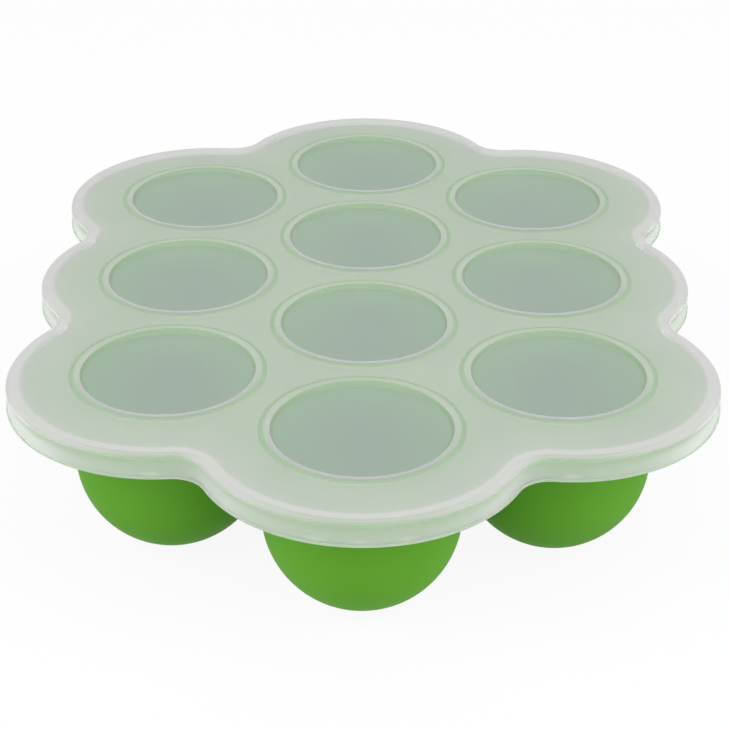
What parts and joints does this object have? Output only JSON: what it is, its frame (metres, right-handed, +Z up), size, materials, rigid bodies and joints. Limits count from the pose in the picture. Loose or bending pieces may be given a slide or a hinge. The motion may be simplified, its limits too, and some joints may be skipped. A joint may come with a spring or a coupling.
{
  "type": "baby food freezer tray",
  "caption": "Flexible tray with round-bottomed cups in staggered columns under a translucent clip-on lid, for freezing small portions of baby food.",
  "frame": {"origin": "on the surface that the tray stands on, under the middle of the cup pattern", "axes": "+Z up, +Y from the front cup to the back cup, +X to the right"},
  "size_m": [0.1666, 0.227, 0.0439],
  "materials": {
    "silicone": "matt green silicone",
    "lid_plastic": "milky, translucent, slightly frosted"
  },
  "bodies": {
    "tray": {"tray": "silicone"},
    "lid": {"lid": "lid_plastic"}
  },
  "joints": [
    {"name": "lid_lift", "type": "slide", "parent": "tray", "child": "lid", "axis": [0, 0, 1], "range_m": [0, 0.06]}
  ]
}
